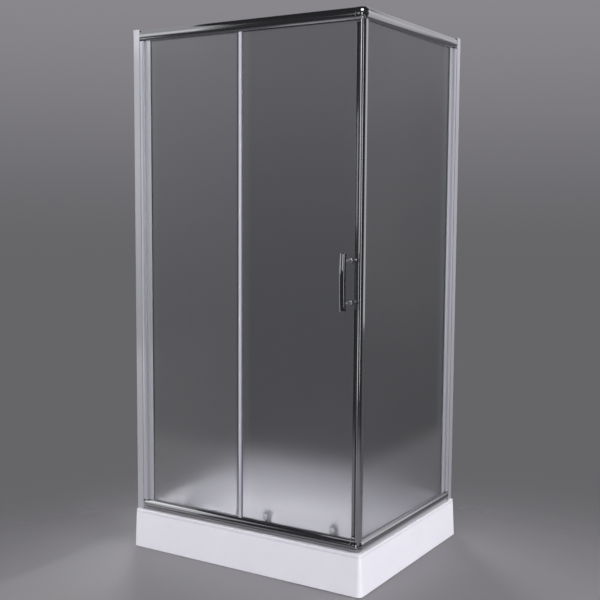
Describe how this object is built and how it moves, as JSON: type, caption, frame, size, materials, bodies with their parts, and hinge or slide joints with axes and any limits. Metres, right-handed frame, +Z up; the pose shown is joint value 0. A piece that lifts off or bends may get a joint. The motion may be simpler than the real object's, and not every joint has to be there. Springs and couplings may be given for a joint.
{
  "type": "shower enclosure",
  "caption": "Corner shower enclosure: low white tray, chromed frame, frosted fixed panes and a sliding door on rollers with a bar handle.",
  "frame": {"origin": "on the floor under the middle of the tray, at the foot of the centre leg", "axes": "+X along the front from the side wall to the open corner, +Y from the front to the back wall, +Z up"},
  "size_m": [1.008, 0.8195, 2],
  "materials": {
    "white_acrylic": "glossy sanitary acrylic",
    "bonded_board": "raw chipboard",
    "zinc_steel": "zinc plated",
    "black_plastic": "moulded",
    "white_plastic": "moulded",
    "black_rubber": "moulded",
    "chrome": "polished chrome plating",
    "bright_aluminium": "polished and chromed extrusion",
    "frosted_glass": "toughened, frosted",
    "clear_gasket": "translucent soft strip",
    "clear_seal": "translucent soft profile",
    "magnet_strip": "dark magnet strip",
    "white_nylon": "turned nylon",
    "grey_plastic": "moulded",
    "spring_steel": "drawn wire"
  },
  "bodies": {
    "enclosure": {"tray_shell": "white_acrylic", "tray_apron": "white_acrylic", "reinforcing_board": "bonded_board", "frame_tube_left": "zinc_steel", "frame_tube_centre": "zinc_steel", "frame_tube_right": "zinc_steel", "foot_rods": "zinc_steel", "foot_pads": "black_plastic", "foot_nuts": "zinc_steel", "apron_brackets": "zinc_steel", "apron_clips": "white_plastic", "drain_flange": "chrome", "drain_seal": "black_rubber", "trap_body": "white_plastic", "trap_screw": "zinc_steel", "wall_channel_left": "bright_aluminium", "wall_channel_back": "bright_aluminium", "stile_left": "bright_aluminium", "stile_back": "bright_aluminium", "stile_screws": "zinc_steel", "stile_screw_caps": "white_plastic", "rail_front_top": "bright_aluminium", "rail_front_bottom": "bright_aluminium", "rail_side_top": "bright_aluminium", "rail_side_bottom": "bright_aluminium", "rail_end_connectors": "chrome", "corner_top": "chrome", "corner_bottom": "chrome", "corner_post": "bright_aluminium", "fixed_pane": "frosted_glass", "side_pane": "frosted_glass", "fixed_pane_gaskets": "clear_gasket", "side_pane_gaskets": "clear_gasket", "meeting_seal": "clear_seal", "post_magnet": "magnet_strip", "door_stops": "black_rubber"},
    "door": {"door_pane": "frosted_glass", "door_closing_profile": "bright_aluminium", "door_magnet": "magnet_strip", "door_rear_seal": "clear_seal", "handle_bar": "chrome", "handle_posts": "chrome", "handle_bolts": "zinc_steel", "handle_inner_caps": "chrome", "upper_axles": "zinc_steel", "upper_bushes": "white_nylon", "upper_cap_nuts": "chrome", "lower_bolts": "chrome", "lower_housings": "grey_plastic", "lower_spring_left": "spring_steel", "lower_spring_right": "spring_steel"},
    "drain_cover": {"drain_cover": "chrome"},
    "upper_wheel_left": {"upper_wheel_left": "white_nylon"},
    "lower_plunger_left": {"lower_plunger_left": "grey_plastic"},
    "lower_wheel_left": {"lower_wheel_left": "white_nylon"},
    "upper_wheel_right": {"upper_wheel_right": "white_nylon"},
    "lower_plunger_right": {"lower_plunger_right": "grey_plastic"},
    "lower_wheel_right": {"lower_wheel_right": "white_nylon"}
  },
  "joints": [
    {"name": "door_slide", "type": "slide", "parent": "enclosure", "child": "door", "axis": [-1, 0, 0], "range_m": [0, 0.4097]},
    {"name": "drain_cover_lift", "type": "slide", "parent": "enclosure", "child": "drain_cover", "axis": [0, 0, 1], "range_m": [0, 0.06]},
    {"name": "upper_wheel_left_spin", "type": "hinge", "parent": "door", "child": "upper_wheel_left", "pos_m": [0.082, -0.361, 1.97555], "axis": [0, -1, 0], "range_deg": [0, 2480]},
    {"name": "lower_release_left", "type": "slide", "parent": "door", "child": "lower_plunger_left", "axis": [0, 0, -1], "range_m": [0, 0.006], "stiffness_N_per_m": 1500, "springref_m": -0.008, "deforming": ["lower_spring_left"]},
    {"name": "lower_wheel_left_spin", "type": "hinge", "parent": "lower_plunger_left", "child": "lower_wheel_left", "pos_m": [0.082, -0.361, 0.17145], "axis": [0, 1, 0], "range_deg": [0, 2480]},
    {"name": "upper_wheel_right_spin", "type": "hinge", "parent": "door", "child": "upper_wheel_right", "pos_m": [0.3647, -0.361, 1.97555], "axis": [0, -1, 0], "range_deg": [0, 2480]},
    {"name": "lower_release_right", "type": "slide", "parent": "door", "child": "lower_plunger_right", "axis": [0, 0, -1], "range_m": [0, 0.006], "stiffness_N_per_m": 1500, "springref_m": -0.008, "deforming": ["lower_spring_right"]},
    {"name": "lower_wheel_right_spin", "type": "hinge", "parent": "lower_plunger_right", "child": "lower_wheel_right", "pos_m": [0.3647, -0.361, 0.17145], "axis": [0, 1, 0], "range_deg": [0, 2480]}
  ],
  "couplings": [
    {"joint": "upper_wheel_left_spin", "follows": "door_slide", "rad_per_m": 105.26},
    {"joint": "lower_wheel_left_spin", "follows": "door_slide", "rad_per_m": 105.26},
    {"joint": "upper_wheel_right_spin", "follows": "door_slide", "rad_per_m": 105.26},
    {"joint": "lower_wheel_right_spin", "follows": "door_slide", "rad_per_m": 105.26}
  ]
}
